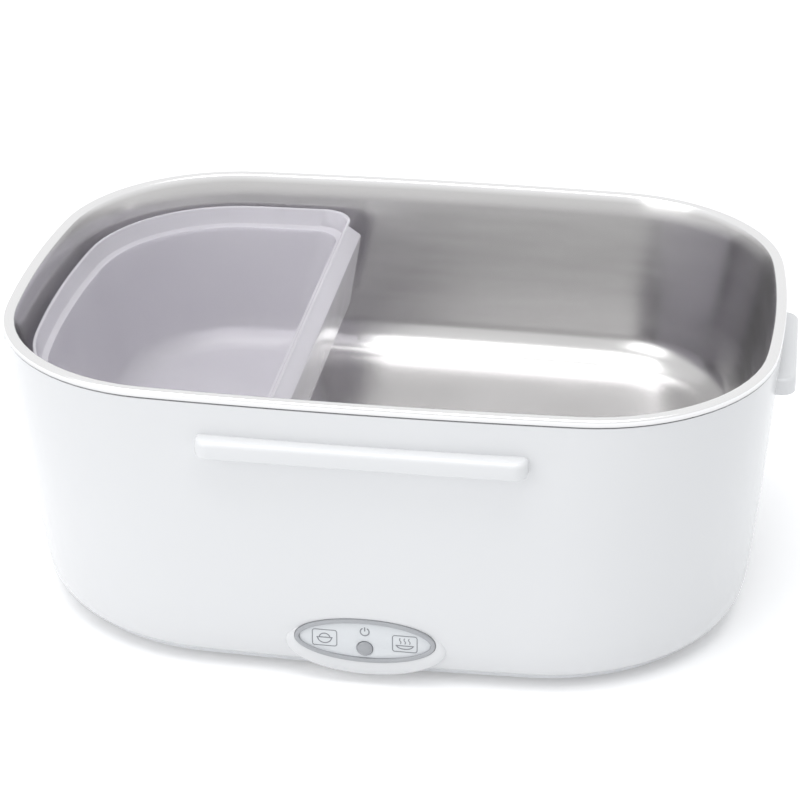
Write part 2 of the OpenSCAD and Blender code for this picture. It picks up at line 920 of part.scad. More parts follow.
module board_resistor() {
    color([0.80, 0.70, 0.52])
        at_panel(board_depth)
            translate([0, board_z / 2 - 4.6, 1.2]) {
                rotate([0, 90, 0])
                    translate([0, 0, -3.2])
                        cylinder(d = 2.2, h = 6.4);
                for (side = [-1, 1])
                    translate([side * 4.4, 0, -1.2])
                        cylinder(d = 0.7, h = 1.5, $fn = 24);
                rotate([0, 90, 0])
                    translate([0, 0, -4.7])
                        cylinder(d = 0.7, h = 9.4, $fn = 24);
            }
}

module indicator_lens() {
    color([0.55, 0.55, 0.57])
        at_panel(ring_t + 1.2)
            translate([0, -lens_drop, 0]) {
                cylinder(d = lens_d - 1.4, h = 1.2);
                translate([0, 0, 1.2])
                    cylinder(d = lens_d - 0.4, h = ring_t);
            }
}

module panel_ring() {
    color([0.62, 0.62, 0.64])
        at_panel(ring_t)
            difference() {
                oval(ring_l - 0.3, ring_h - 0.3, ring_t + 0.4);
                translate([0, 0, -1])
                    oval(ring_l - 2 * ring_band, ring_h - 2 * ring_band, ring_t + 3);
            }
}

module panel_plate() {
    color([0.86, 0.86, 0.88])
        at_panel(ring_t)
            difference() {
                oval(ring_l - 2 * ring_band - 0.2, ring_h - 2 * ring_band - 0.2, ring_t - 0.2);
                translate([0, -lens_drop, -1])
                    cylinder(d = lens_d, h = ring_t + 2);
            }
}

// ---- wires, held all the way inside the body ----
wire_r = 0.9;

// Tube of eight sides swept along points
module wire(path) {
    sides = 8;
    last = len(path) - 1;
    function unit(v) = v / norm(v);
    function along(i) = unit(path[min(i + 1, last)] - path[max(i - 1, 0)]);
    function across(i) = let (t = along(i), c = cross(t, [0.31, 0.19, 0.93])) unit(c);
    polyhedron(
        points = [for (i = [0:last]) let (t = along(i), u = across(i), v = cross(t, u))
            for (k = [0:sides - 1]) path[i] + wire_r * (cos(360 * k / sides) * u + sin(360 * k / sides) * v)],
        faces = concat(
            [[for (k = [0:sides - 1]) k]],
            [for (i = [0:last - 1], k = [0:sides - 1]) let (a = i * sides, b = a + sides, n = (k + 1) % sides)
                each [[a + k, b + k, b + n], [a + k, b + n, a + n]]],
            [[for (k = [sides - 1:-1:0]) last * sides + k]]
        )
    );
}

wire_level = (edge_h + shield_low) / 2 - 1.2;
tap_z = heater_low + heater_t / 2 - 0.5;
tap_x = heater_x + heater_l / 2 - 1.2;
crimp_x = pin_pitch / 2;
wire_off = 1.3;

// From the inlet round the heat shield to the outer end of one heater
module mains_wire(side) {
    rise_x = shield_post_x - 6.4;
    wire([for (p = [
        [crimp_x + wire_off, crimp_back, inlet_h], [crimp_x + wire_off, crimp_back - 2, inlet_h],
        [crimp_x + 3, crimp_back - 5, inlet_h - 4], [16, 43, wire_level + 1], [40, 41, wire_level],
        [rise_x - 5, 40, wire_level + 3], [rise_x, 37, wire_level + 8],
        [rise_x, shield_w / 2 + 2, tap_z - 5.5],
        [rise_x, shield_post_y + 1, tap_z - 2], [rise_x, 10, tap_z - 1.4], [rise_x, 4, tap_z - 1],
        [tap_x + 3, 1.2, tap_z - 0.4], [tap_x + 1.6, 0, tap_z], [tap_x, 0, tap_z]
    ]) [side * p[0], p[1], p[2]]]);
}

module live_wire() {
    color([0.45, 0.30, 0.20])
        mains_wire(-1);
}

module neutral_wire() {
    color([0.20, 0.32, 0.60])
        mains_wire(1);
}

// From one heater past the thermal fuse to the other
module heater_bridge_wire() {
    inner_end = heater_x - heater_l / 2;
    color([0.85, 0.85, 0.82])
        wire([
            [-inner_end - 1.2, 0, tap_z], [-inner_end + 4, 0, tap_z], [inner_end - 4, 0, tap_z],
            [inner_end + 1.2, 0, tap_z]
        ]);
}

module indicator_wires() {
    back = board_depth + board_t;
    color([0.70, 0.15, 0.15])
        for (side = [-1, 1])
            wire([
                panel_point(side * 5, 3, back), panel_point(side * 5, 3, back + 2),
                [side * 7, -56, wire_level + 2],
                [side * 10, -40, wire_level], [side * 12, 0, wire_level], [side * 10, 30, wire_level],
                [side * 6, 41, wire_level + 2], [side * (crimp_x - wire_off), crimp_back - 4, inlet_h - 4],
                [side * (crimp_x - wire_off), crimp_back - 1.5, inlet_h],
                [side * (crimp_x - wire_off), crimp_back, inlet_h]
            ]);
}

// ---- what lifts out ----
module steel_container() {
    wall_x = -rim_flat;
    skin = steel_t / cos(container_lean);
    edge = 0.7;
    inner_floor = floor_profile(wall_x, rim_h, container_lean, container_floor_top, floor_round);
    outer_floor = floor_profile(wall_x + skin, rim_h, container_lean, container_floor_low, floor_round + steel_t);
    color(steel)
        union() {
            sweep_rim(concat(
                [[0, rim_h - lip_drop]], arc_profile(-edge, rim_h - edge, edge, 0, 90, 4),
                [[wall_x + 0.7, rim_h], [wall_x + 0.2, rim_h - 0.2], [wall_x - lean_t * 0.8, rim_h - 0.8]],
                inner_floor, [[-45, container_floor_top], [-45, container_floor_low]], reversed(outer_floor),
                [[wall_x + skin - lean_t * steel_t, land_h], [-lip_t, land_h], [-lip_t, rim_h - lip_drop]]
            ));
            rim_plate(-40, container_floor_low, container_floor_top);
        }
}

// ---- divider tray ----
tray_rim_h = rim_h - tray_drop;
tray_floor_top = container_floor_top + joint_gap + tray_t;
tray_x = -rim_flat - lean_t * tray_drop - tray_gap;
tray_step_h = tray_rim_h - tray_band_h;
skirt_lean = 9;

// D-shaped outline moved in by inset: it follows the container on three sides
function tray_points(inset) =
    let (side = rim_arcs[2], left = rim_arcs[4], move = tray_x - inset, rc = tray_corner_r,
         cx = tray_wall_x - inset - rc, reach = side[2] + move - rc,
         cy = side[1] + sqrt(reach * reach - cx * cx), phi = 90 + atan(-cx / (cy - side[1])))
    [for (arc = [
        [cx, cy, rc, 0, phi],
        [0, side[1], side[2] + move, phi, 90 + long_side_turn - phi],
        [rim_arcs[3][0], rim_arcs[3][1], corner_r + move, rim_arcs[3][3], rim_arcs[3][4]],
        [left[0], left[1], left[2] + move, left[3], left[4]],
        [rim_arcs[5][0], rim_arcs[5][1], corner_r + move, rim_arcs[5][3], rim_arcs[5][4]],
        [0, -side[1], side[2] + move, 270 - long_side_turn, 90 + long_side_turn - phi],
        [cx, -cy, rc, 360 - phi, phi]
    ]) each arc_points(arc, arc[4] > 20 ? 12 : 4)];

// Inward place of the tray's wall at height z, with a floor at floor_z rounded by r
function tray_inset(z, floor_z, r) =
    let (below = max(0, floor_z + r - z))
    lean_t * (tray_rim_h - z) + r - sqrt(max(0, r * r - below * below));

module tray_form(heights, extra, floor_z, r) {
    hull()
        for (z = heights)
            translate([0, 0, z])
                linear_extrude(0.01)
                    polygon(tray_points(tray_inset(z, floor_z, r) + extra));
}

function tray_heights(floor_z, r) =
    concat([for (i = [0:4]) floor_z + r * (1 - cos(90 * (1 - i / 4)))], [tray_step_h]);

module divider_tray() {
    skin = tray_t / cos(container_lean);
    flange_fall = 3;
    skirt_low = -flange_fall - tray_skirt_h;
    skirt_x = tray_flange_w - tan(skirt_lean) * tray_skirt_h;
    low = tray_floor_top - tray_t;
    color([0.90, 0.88, 0.94, 0.5])
        difference() {
            union() {
                tray_form(
                    tray_heights(low, tray_floor_round + tray_t), tray_step,
                    low, tray_floor_round + tray_t
                );
                tray_form([tray_step_h - tray_t, tray_rim_h - 0.01], 0, low, 1);
                // sloping flange outside the straight wall, with a skirt hanging from it
                translate([tray_wall_x, tray_flange_l / 2, tray_rim_h])
                    rotate([90, 0, 0])
                        linear_extrude(tray_flange_l)
                            polygon([
                                [-tray_t / 2, -0.1], [0, -0.1], [tray_flange_w - 0.4, -flange_fall + 0.3],
                                [tray_flange_w, -flange_fall], [skirt_x, skirt_low],
                                [skirt_x - tray_t, skirt_low],
                                [tray_flange_w - tray_t, -flange_fall - 1], [-tray_t / 2, -1.6]
                            ]);
            }
            tray_form(
                tray_heights(tray_floor_top, tray_floor_round), tray_step + skin,
                tray_floor_top, tray_floor_round
            );
            tray_form([tray_step_h, tray_rim_h + 0.5], skin, low, 1);
        }
}

outer_shell();
inner_liner();
heating_plate();
plate_seal();
ceramic_heaters();
heater_clips();
heater_clip_screws();
thermostat();
thermal_fuse();
sensor_clips();
sensor_clip_screws();
heat_shield();
insulation_pad();
shield_screws();
base_cover();
base_screws();
rubber_feet();
power_inlet();
inlet_pins();
inlet_screws();
crimp_terminals();
indicator_board();
board_screws();
indicator_led();
board_resistor();
indicator_lens();
panel_ring();
panel_plate();
live_wire();
neutral_wire();
heater_bridge_wire();
indicator_wires();
steel_container();
divider_tray();
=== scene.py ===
# %% [markdown]
# # An open electric lunch box
# The real object is a white moulded housing that warms a steel container from below. The
# container and a translucent divider tray lift out. This notebook dresses the engineering model:
# it keeps the small parts as they are, gives them finishes, and models the visible shapes again
# with smooth surfaces. Sizes are typed in millimetres, and MM turns them into metres.

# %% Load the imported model
import math

import bmesh
import bpy
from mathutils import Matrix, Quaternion, Vector


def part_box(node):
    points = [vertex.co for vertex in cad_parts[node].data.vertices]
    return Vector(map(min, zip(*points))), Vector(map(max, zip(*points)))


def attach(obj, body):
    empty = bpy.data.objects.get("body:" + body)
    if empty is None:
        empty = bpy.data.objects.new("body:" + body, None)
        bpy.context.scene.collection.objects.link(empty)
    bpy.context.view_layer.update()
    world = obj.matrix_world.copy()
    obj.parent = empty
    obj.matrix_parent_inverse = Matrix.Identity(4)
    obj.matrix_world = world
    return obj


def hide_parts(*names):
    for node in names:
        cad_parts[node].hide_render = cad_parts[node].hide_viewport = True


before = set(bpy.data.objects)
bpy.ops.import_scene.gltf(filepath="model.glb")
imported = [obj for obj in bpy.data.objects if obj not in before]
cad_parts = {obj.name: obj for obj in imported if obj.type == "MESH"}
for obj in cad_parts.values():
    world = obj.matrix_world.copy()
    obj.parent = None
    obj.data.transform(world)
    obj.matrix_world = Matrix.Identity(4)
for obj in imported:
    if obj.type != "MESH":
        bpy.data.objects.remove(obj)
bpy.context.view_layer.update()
MM = 0.001
for plain in list(bpy.data.materials):
    bpy.data.materials.remove(plain)
print("nodes:", len(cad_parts))

# %% [markdown]
# ## Camera
# The picture was taken from a little over the rim with a long lens, so upright edges hardly lean
# together. A camera can be placed by typing its location, but it is easier to think of it as on a
# sphere round the object: an angle to the side, an angle above the table and a distance. Those
# three were fitted to the rim.

# %% Place the camera
AIM = Vector((-0.554, 0.0, 52.311)) * MM
SIDE_ANGLE = math.radians(8.8675)
HEIGHT_ANGLE = math.radians(26.9959)
ROLL = math.radians(-0.1246)
DISTANCE = 775.772 * MM
FOCAL_LENGTH = 115.92
SENSOR = 36
NEAREST = 0.02

away = Vector((
    math.sin(SIDE_ANGLE) * math.cos(HEIGHT_ANGLE),
    -math.cos(SIDE_ANGLE) * math.cos(HEIGHT_ANGLE),
    math.sin(HEIGHT_ANGLE),
))
bpy.ops.object.camera_add(location=AIM + away * DISTANCE)
camera = bpy.context.object
camera.rotation_euler = (away.to_track_quat("Z", "Y") @ Quaternion((0, 0, 1), ROLL)).to_euler()
camera.data.lens = FOCAL_LENGTH
camera.data.sensor_width = SENSOR
camera.data.clip_start = NEAREST
bpy.context.scene.camera = camera
print("camera at", [round(v, 3) for v in camera.location])

# %% [markdown]
# ## Table, backdrop and light
# Product photographs of white things are taken on a white sweep, with large soft lamps. The floor
# here is plain white. A little glow is added to it for the camera, and for what the camera sees
# in metal and through plastic, so it looks like a bright sweep. The object is lit by the lamps
# and the room alone and drops its shadow on it.

# %% Floor
FLOOR_SIZE = 2.6
BELOW_TABLE = -0.0002
GLOW = 0.24


def seen_directly(tree):
    """1 for rays that show a background to the camera, directly, in a mirror or through a clear wall."""
    path = tree.nodes.new("ShaderNodeLightPath")
    result = path.outputs["Is Camera Ray"]
    for name in ("Is Glossy Ray", "Is Transmission Ray"):
        either = tree.nodes.new("ShaderNodeMath")
        either.operation = "MAXIMUM"
        tree.links.new(result, either.inputs[0])
        tree.links.new(path.outputs[name], either.inputs[1])
        result = either.outputs[0]
    return result


bpy.ops.object.select_all(action="DESELECT")
bpy.ops.mesh.primitive_plane_add(size=FLOOR_SIZE, location=(0, 0, BELOW_TABLE))
floor = bpy.context.object
floor.name = "floor"
sweep = bpy.data.materials.new("white_sweep")
sweep.use_nodes = True
tree = sweep.node_tree
tree.nodes.clear()
matte = tree.nodes.new("ShaderNodeBsdfDiffuse")
matte.inputs["Color"].default_value = (0.95, 0.95, 0.955, 1)
glow = tree.nodes.new("ShaderNodeEmission")
share = tree.nodes.new("ShaderNodeMath")
share.operation = "MULTIPLY"
share.inputs[1].default_value = GLOW
total = tree.nodes.new("ShaderNodeAddShader")
out = tree.nodes.new("ShaderNodeOutputMaterial")
tree.links.new(seen_directly(tree), share.inputs[0])
tree.links.new(share.outputs[0], glow.inputs["Strength"])
tree.links.new(matte.outputs[0], total.inputs[0])
tree.links.new(glow.outputs[0], total.inputs[1])
tree.links.new(total.outputs[0], out.inputs["Surface"])
floor.data.materials.append(sweep)

# %% World and lamps
ROOM_LIGHT = 0.62
WHITE = 1.0
LAMP_AIM = Vector((0, 0, 0.05))

world = bpy.context.scene.world or bpy.data.worlds.new("studio")
bpy.context.scene.world = world
world.use_nodes = True
tree = world.node_tree
tree.nodes.clear()
room = tree.nodes.new("ShaderNodeBackground")
room.inputs["Color"].default_value = (0.96, 0.98, 1.0, 1)
room.inputs["Strength"].default_value = ROOM_LIGHT
backdrop = tree.nodes.new("ShaderNodeBackground")
backdrop.inputs["Color"].default_value = (WHITE, WHITE, WHITE, 1)
backdrop.inputs["Strength"].default_value = WHITE
choose = tree.nodes.new("ShaderNodeMixShader")
out = tree.nodes.new("ShaderNodeOutputWorld")
tree.links.new(seen_directly(tree), choose.inputs[0])
tree.links.new(room.outputs[0], choose.inputs[1])
tree.links.new(backdrop.outputs[0], choose.inputs[2])
tree.links.new(choose.outputs[0], out.inputs["Surface"])


def soft_lamp(name, place, size, watts):
    """A rectangular soft light that points at the box."""
    bpy.ops.object.light_add(type="AREA", location=place)
    lamp = bpy.context.object
    lamp.name = name
    lamp.data.shape = "RECTANGLE"
    lamp.data.size, lamp.data.size_y = size
    lamp.data.energy = watts
    lamp.rotation_euler = (Vector(place) - LAMP_AIM).to_track_quat("Z", "Y").to_euler()


soft_lamp("overhead_lamp", (-0.06, -0.2, 1.2), (1.1, 0.8), 8.3)
soft_lamp("front_left_lamp", (-0.9, -1.1, 0.8), (0.9, 0.9), 4.6)

# %% [markdown]
# ## Small helpers for modelling by operators
# Blender's operators work on whatever is selected and active, so each step starts with a clean
# selection.

# %% Selecting and finishing
WELD = 0.000002


def leave_edit():
    if bpy.context.mode != "OBJECT":
        bpy.ops.object.mode_set(mode="OBJECT")


def select_only(*pieces):
    leave_edit()
    bpy.ops.object.select_all(action="DESELECT")
    for piece in pieces:
        piece.select_set(True)
    bpy.context.view_layer.objects.active = pieces[0]


def pick(piece, test, kind="FACE"):
    """Edit mode with only the faces, edges or vertices that pass the test selected."""
    select_only(piece)
    bpy.ops.object.mode_set(mode="EDIT")
    bpy.ops.mesh.select_mode(type=kind)
    bpy.ops.mesh.select_all(action="DESELECT")
    mesh = bmesh.from_edit_mesh(piece.data)
    items = {"FACE": mesh.faces, "EDGE": mesh.edges, "VERT": mesh.verts}[kind]
    for item in items:
        if test(item):
            item.select_set(True)
    mesh.select_flush_mode()
    bmesh.update_edit_mesh(piece.data)


def modify(piece, kind, **settings):
    """Adds a modifier with these settings and applies it."""
    select_only(piece)
    modifier = piece.modifiers.new(kind.lower(), kind)
    for key, value in settings.items():
        setattr(modifier, key, value)
    bpy.ops.object.modifier_apply(modifier=modifier.name)


def settle(piece, angle=35):
    """Puts the place into the mesh, points the faces outwards and smooths the soft edges."""
    select_only(piece)
    bpy.ops.object.transform_apply(location=True, rotation=True, scale=True)
    bpy.ops.object.mode_set(mode="EDIT")
    bpy.ops.mesh.select_all(action="SELECT")
    bpy.ops.mesh.remove_doubles(threshold=WELD)
    bpy.ops.mesh.normals_make_consistent(inside=False)
    bpy.ops.object.mode_set(mode="OBJECT")
    bpy.ops.object.shade_smooth_by_angle(angle=math.radians(angle))


def hand_over(piece, name, body, material, nodes=()):
    """Names the piece, gives it its finish, tells the frame what it rides on and hides the engineering
    parts it stands for.
    """
    piece.name = name
    piece.data.name = name
    piece.data.materials.clear()
    piece.data.materials.append(material)
    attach(piece, body)
    if nodes:
        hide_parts(*nodes)
    print(f"{name}: {len(piece.data.polygons)} faces, stands for {list(nodes)}")


# %% [markdown]
# ## The outline
# Seen from above, the box is a rounded rectangle whose sides bow outwards a little: two end arcs,
# two long side arcs and four corner arcs, each running smoothly into the next. A Bezier circle
# with eight points draws this exactly: a point sits at each join, and its handles lie along the
# common tangent. Converted to a mesh, it becomes a ring of points, and rings of different size
# and height are bridged into a wall.

# %% Outline of eight tangent arcs
HALF_W, HALF_D = 112.5, 81.5
CORNER_R = 54.3
RIM_H = 91.0
SIDE_TURN = math.radians(2.56)
END_TURN = math.radians(5.57)


def outline_arcs(inset, corner=None):
    """(centre x, centre y, radius, start angle, turn) of each arc, in millimetres."""
    a, b = HALF_W - inset, HALF_D - inset
    r = CORNER_R - inset if corner is None else corner
    end_rise, side_rise = 1 - math.cos(END_TURN), 1 - math.cos(SIDE_TURN)
    det = math.sin(SIDE_TURN) * math.sin(END_TURN) - end_rise * side_rise
    long_reach = ((a - r) * math.sin(END_TURN) - (b - r) * end_rise) / det
    short_reach = ((b - r) * math.sin(SIDE_TURN) - (a - r) * side_rise) / det
    long_r, short_r = long_reach + r, short_reach + r
    x, y = long_reach * math.sin(SIDE_TURN), short_reach * math.sin(END_TURN)
    quarter, turn = math.pi / 2, math.pi / 2 - SIDE_TURN - END_TURN
    return [
        (a - short_r, 0, short_r, -END_TURN, 2 * END_TURN),
        (x, y, r, END_TURN, turn),
        (0, b - long_r, long_r, quarter - SIDE_TURN, 2 * SIDE_TURN),
        (-x, y, r, quarter + SIDE_TURN, turn),
        (short_r - a, 0, short_r, 2 * quarter - END_TURN, 2 * END_TURN),
        (-x, -y, r, 2 * quarter + END_TURN, turn),
        (0, long_r - b, long_r, 3 * quarter - SIDE_TURN, 2 * SIDE_TURN),
        (x, -y, r, 3 * quarter + SIDE_TURN, turn),
    ]


def spans(arcs):
    """Start point, heading and handle length of each arc."""
    return [
        (
            x + r * math.cos(start),
            y + r * math.sin(start),
            start + math.pi / 2,
            4 / 3 * math.tan(turn / 4) * r,
        )
        for x, y, r, start, turn in arcs
    ]


# %% Rings and walls
POINTS_A_SPAN = 16


def ring(steps, height):
    """A ring of points through the spans, at that height in millimetres."""
    bpy.ops.object.select_all(action="DESELECT")
    bpy.ops.curve.primitive_bezier_circle_add(location=(0, 0, 0))
    loop = bpy.context.object
    bpy.ops.object.mode_set(mode="EDIT")
    bpy.ops.curve.select_all(action="SELECT")
    bpy.ops.curve.subdivide()
    bpy.ops.object.mode_set(mode="OBJECT")
    loop.data.dimensions = "3D"
    loop.data.resolution_u = POINTS_A_SPAN
    points = loop.data.splines[0].bezier_points
    for i, point in enumerate(points):
        x, y, heading, reach = steps[i]
        before = steps[i - 1][3]
        along = Vector((math.cos(heading), math.sin(heading), 0))
        point.handle_left_type = point.handle_right_type = "FREE"
        point.co = Vector((x, y, height)) * MM
        point.handle_right = point.co + along * reach * MM
        point.handle_left = point.co - along * before * MM
    bpy.ops.object.convert(target="MESH")
    return bpy.context.object


def rings_of(edge, size):
    """The numbers of the rings that the ends of an edge belong to."""
    return {vert.index // size for vert in edge.verts}


def loft(rings, closed=False, cap_first=False, cap_last=False):
    """Bridges each ring to the next one. Closed joins the last one to the first, a cap fills a ring."""
    wall, size = rings[0], len(rings[0].data.vertices)
    total = len(rings)
    for following in rings[1:]:
        select_only(wall, following)
        bpy.ops.object.join()
    for i in range(total if closed else total - 1):
        pair = ({i}, {(i + 1) % total})
        pick(wall, lambda e: rings_of(e, size) in pair, "EDGE")
        bpy.ops.mesh.bridge_edge_loops()
    for wanted, i in ((cap_first, 0), (cap_last, total - 1)):
        if wanted:
            pick(wall, lambda e: rings_of(e, size) == {i}, "EDGE")
            bpy.ops.mesh.edge_face_add()
    leave_edit()
    return wall


def box_rings(profile):
    """Rings of the outline for profile points (inset, height) or (inset, height, corner radius)."""
    return [ring(spans(outline_arcs(inset, *corner)), height) for inset, height, *corner in profile]


def arc_points(x, z, rx, rz, start, end, steps=16):
    """Points of an elliptical arc in a flat drawing, angles in degrees."""
    turn = [math.radians(start + (end - start) * i / steps) for i in range(steps + 1)]
    return [(x + rx * math.cos(t), z + rz * math.sin(t)) for t in turn]


print("outline:", len(outline_arcs(0)), "arcs,", 8 * POINTS_A_SPAN, "points a ring")

# %% [markdown]
# ## Finishes
# Moulded plastic is never one flat colour. Its gloss wavers where the mould was polished, and a
# faint grain catches the light. Each finish below starts from a Principled shader with its plain
# values set on its own sockets. A noise texture on object coordinates, stretched by a Mapping
# node where the finish has a direction, then varies colour and roughness and feeds a small bump.

# %% Finish helpers
def new_finish(name, color, roughness, metallic=0.0, **sockets):
    """A Principled material with plain values on its sockets."""
    material = bpy.data.materials.new(name)
    material.use_nodes = True
    shader = material.node_tree.nodes["Principled BSDF"]
    shader.inputs["Base Color"].default_value = (*color, 1)
    shader.inputs["Roughness"].default_value = roughness
    shader.inputs["Metallic"].default_value = metallic
    for socket, value in sockets.items():
        shader.inputs[socket.replace("_", " ")].default_value = value
    material.diffuse_color = (*color, 1)
    return material


def grain(material, scale, stretch=(1, 1, 1), detail=3.0, kind="ShaderNodeTexNoise"):
    """A texture over object coordinates. Scale is in repeats a metre."""
    tree = material.node_tree
    place = tree.nodes.new("ShaderNodeTexCoord")
    mapping = tree.nodes.new("ShaderNodeMapping")
    mapping.inputs["Scale"].default_value = stretch
    texture = tree.nodes.new(kind)
    texture.inputs["Scale"].default_value = scale
    if "Detail" in texture.inputs:
        texture.inputs["Detail"].default_value = detail
    tree.links.new(place.outputs["Object"], mapping.inputs["Vector"])
    tree.links.new(mapping.outputs[0], texture.inputs["Vector"])
    return texture.outputs["Fac"] if "Fac" in texture.outputs else texture.outputs["Distance"]


def vary_color(material, pattern, low, high, first=0.35, last=0.65):
    """Colour that follows a pattern between two places on its scale."""
    tree = material.node_tree
    ramp = tree.nodes.new("ShaderNodeValToRGB")
    start, end = ramp.color_ramp.elements
    start.position, end.position = first, last
    start.color, end.color = (*low, 1), (*high, 1)
    tree.links.new(pattern, ramp.inputs[0])
    tree.links.new(ramp.outputs["Color"], tree.nodes["Principled BSDF"].inputs["Base Color"])


def vary_gloss(material, pattern, low, high):
    """Roughness that follows a pattern."""
    tree = material.node_tree
    span = tree.nodes.new("ShaderNodeMapRange")
    span.inputs["From Min"].default_value = 0.3
    span.inputs["From Max"].default_value = 0.7
    span.inputs["To Min"].default_value = low
    span.inputs["To Max"].default_value = high
    tree.links.new(pattern, span.inputs["Value"])
    tree.links.new(span.outputs[0], tree.nodes["Principled BSDF"].inputs["Roughness"])


def emboss(material, pattern, strength, depth):
    """Bump of that depth in millimetres."""
    tree = material.node_tree
    bump = tree.nodes.new("ShaderNodeBump")
    bump.inputs["Strength"].default_value = strength
    bump.inputs["Distance"].default_value = depth * MM
    tree.links.new(pattern, bump.inputs["Height"])
    tree.links.new(bump.outputs[0], tree.nodes["Principled BSDF"].inputs["Normal"])


def shade(color, share):
    """A colour with a share of its brightness."""
    return tuple(share * c for c in color)


def moulded(name, color, roughness, grain_scale, bump, **sockets):
    """Injection-moulded plastic: a polished skin that wavers, over a fine grain."""
    material = new_finish(name, color, roughness, **sockets)
    cloud = grain(material, 16, detail=1)
    vary_color(material, cloud, shade(color, 0.99), color)
    vary_gloss(material, cloud, roughness * 0.95, min(1, roughness * 1.08))
    emboss(material, grain(material, grain_scale, detail=4), bump, 0.02)
    return material


def drawn_metal(name, color, roughness, stretch, scale, bump):
    """Rolled or plated metal with fine lines along the way it was worked."""
    material = new_finish(name, color, roughness, metallic=1.0)
    lines = grain(material, scale, stretch, detail=5)
    vary_color(material, lines, shade(color, 0.9), color)
    vary_gloss(material, lines, roughness * 0.8, roughness * 1.35)
    emboss(material, lines, bump, 0.01)
    return material


# %% [markdown]
# ## Body shell
# The housing is one white moulding. Its wall leans in towards the base, swells very slightly half
# way and turns under in a soft curve. It was made by lofting rings of the outline, because the
# corners get rounder lower down and a plain taper of one shape can't do that. The same loft
# carries on up the inside, so the wall has its real thickness and the well for the container is
# there when the container is lifted out.

# %% Loft the body wall
EDGE_H = 4.5  # the lower edge
TURN_H, TURN_D = 10.2, 3.6  # height and depth of the curve that turns under
LEAN = 0.073  # lean inwards for each millimetre down
SWELL = 0.45  # how far the wall bulges half way
WALL = 2.2
SEAM_H = 75.0  # where the inner face leads over to the well
SILL = 3.0  # from the lower edge to the opening in the bottom
CORNER_GROWTH = 12.5  # how much rounder the corners are at the lower edge


def wall_inset(z):
    """How far the outside lies inside the rim's outline at that height."""
    h = (RIM_H - z) / (RIM_H - EDGE_H - TURN_H)
    u = max(0.0, min(1.0, (TURN_H - (z - EDGE_H)) / TURN_H))
    lean = LEAN * (RIM_H - z)
    swell = SWELL * 4 * min(h, 1) * (1 - min(h, 1))
    return lean - swell + TURN_D * (1 - math.sqrt(1 - u * u))


def wall_point(z, skin=0.0):
    """A profile point of the wall, or of its inner face when it is given a thickness."""
    inset = wall_inset(z) + skin
    return (inset, z, CORNER_R - inset + CORNER_GROWTH * (RIM_H - z) / (RIM_H - EDGE_H))


turn_under = [EDGE_H + TURN_H * (1 - math.cos(math.radians(90 * (1 - i / 9)))) for i in range(10)]
outside = [wall_point(z) for z in [88.6, 82, 74, 64, 54, 44, 34, 24] + turn_under]
opening = wall_inset(EDGE_H) + SILL
sill_r = wall_point(EDGE_H)[2] - SILL
inside = [(opening, EDGE_H + 0.05, sill_r), (opening, 6.7, sill_r)]
inside += [wall_point(z, WALL) for z in (6.8, 9.2, 14.7, 30, 50, SEAM_H)]
well = [(5.15, SEAM_H - 0.05), (2.16, 90.4), (1.15, 90.35), (1.15, 88.55)]
shell = loft(box_rings(outside + inside + well), closed=True)
settle(shell)
print("body wall:", len(outside), "rings outside,", len(inside) + len(well), "inside")

# %% [markdown]
# Four catch ledges stand out from the wall: the clips of the lid hold on to them. Each starts as
# a cube. Its two upright front corners are bevelled wide, then the edge along the top gets a
# rounding and the one along the bottom a narrow one, in that order, so each bevel runs on round
# the corners that are there already.

# %% Catch ledges
LEDGE_LOW, LEDGE_HIGH = 74.1, 79.1
LEDGE_OUT = 3.8  # how far a ledge stands out
LONG_LEDGE, SHORT_LEDGE = 91, 47
LEDGE_CORNER, LEDGE_TOP, LEDGE_BOTTOM = 4, 1.5, 0.4  # widths of the bevels
LEDGE_SHIFT = 1.2  # the long ledges sit a little off the middle
HAIR = 0.01  # too small a distance to matter


def catch_ledge(length, face, root, place, turn):
    """A ledge from its face to its root in the wall, made at the front and then turned."""
    def is_front_corner(edge):
        low, high = edge.verts
        at_front = all(v.co.y < (face + HAIR) * MM for v in edge.verts)
        return at_front and abs(low.co.z - high.co.z) > MM

    def is_outer_edge(edge, level):
        at_level = all(abs(v.co.z - level * MM) < HAIR * MM for v in edge.verts)
        return at_level and any(v.co.y < (root - HAIR) * MM for v in edge.verts)

    bpy.ops.object.select_all(action="DESELECT")
    bpy.ops.mesh.primitive_cube_add(
        size=1, location=(0, (face + root) / 2 * MM, (LEDGE_LOW + LEDGE_HIGH) / 2 * MM))
    bar = bpy.context.object
    bar.scale = (length * MM, (root - face) * MM, (LEDGE_HIGH - LEDGE_LOW) * MM)
    bpy.ops.object.transform_apply(location=True, rotation=True, scale=True)
    pick(bar, is_front_corner, "EDGE")
    bpy.ops.mesh.bevel(offset=LEDGE_CORNER * MM, segments=10)
    leave_edit()
    for level, radius, segments in ((LEDGE_HIGH, LEDGE_TOP, 7), (LEDGE_LOW, LEDGE_BOTTOM, 3)):
        pick(bar, lambda e: is_outer_edge(e, level), "EDGE")
        bpy.ops.mesh.bevel(offset=radius * MM, segments=segments)
        leave_edit()
    select_only(bar)
    bpy.ops.object.mode_set(mode="EDIT")
    bpy.ops.mesh.select_all(action="SELECT")
    bpy.ops.transform.rotate(value=-turn, orient_axis="Z", center_override=(0, 0, 0))
    bpy.ops.transform.translate(value=Vector(place) * MM)
    leave_edit()
    return bar


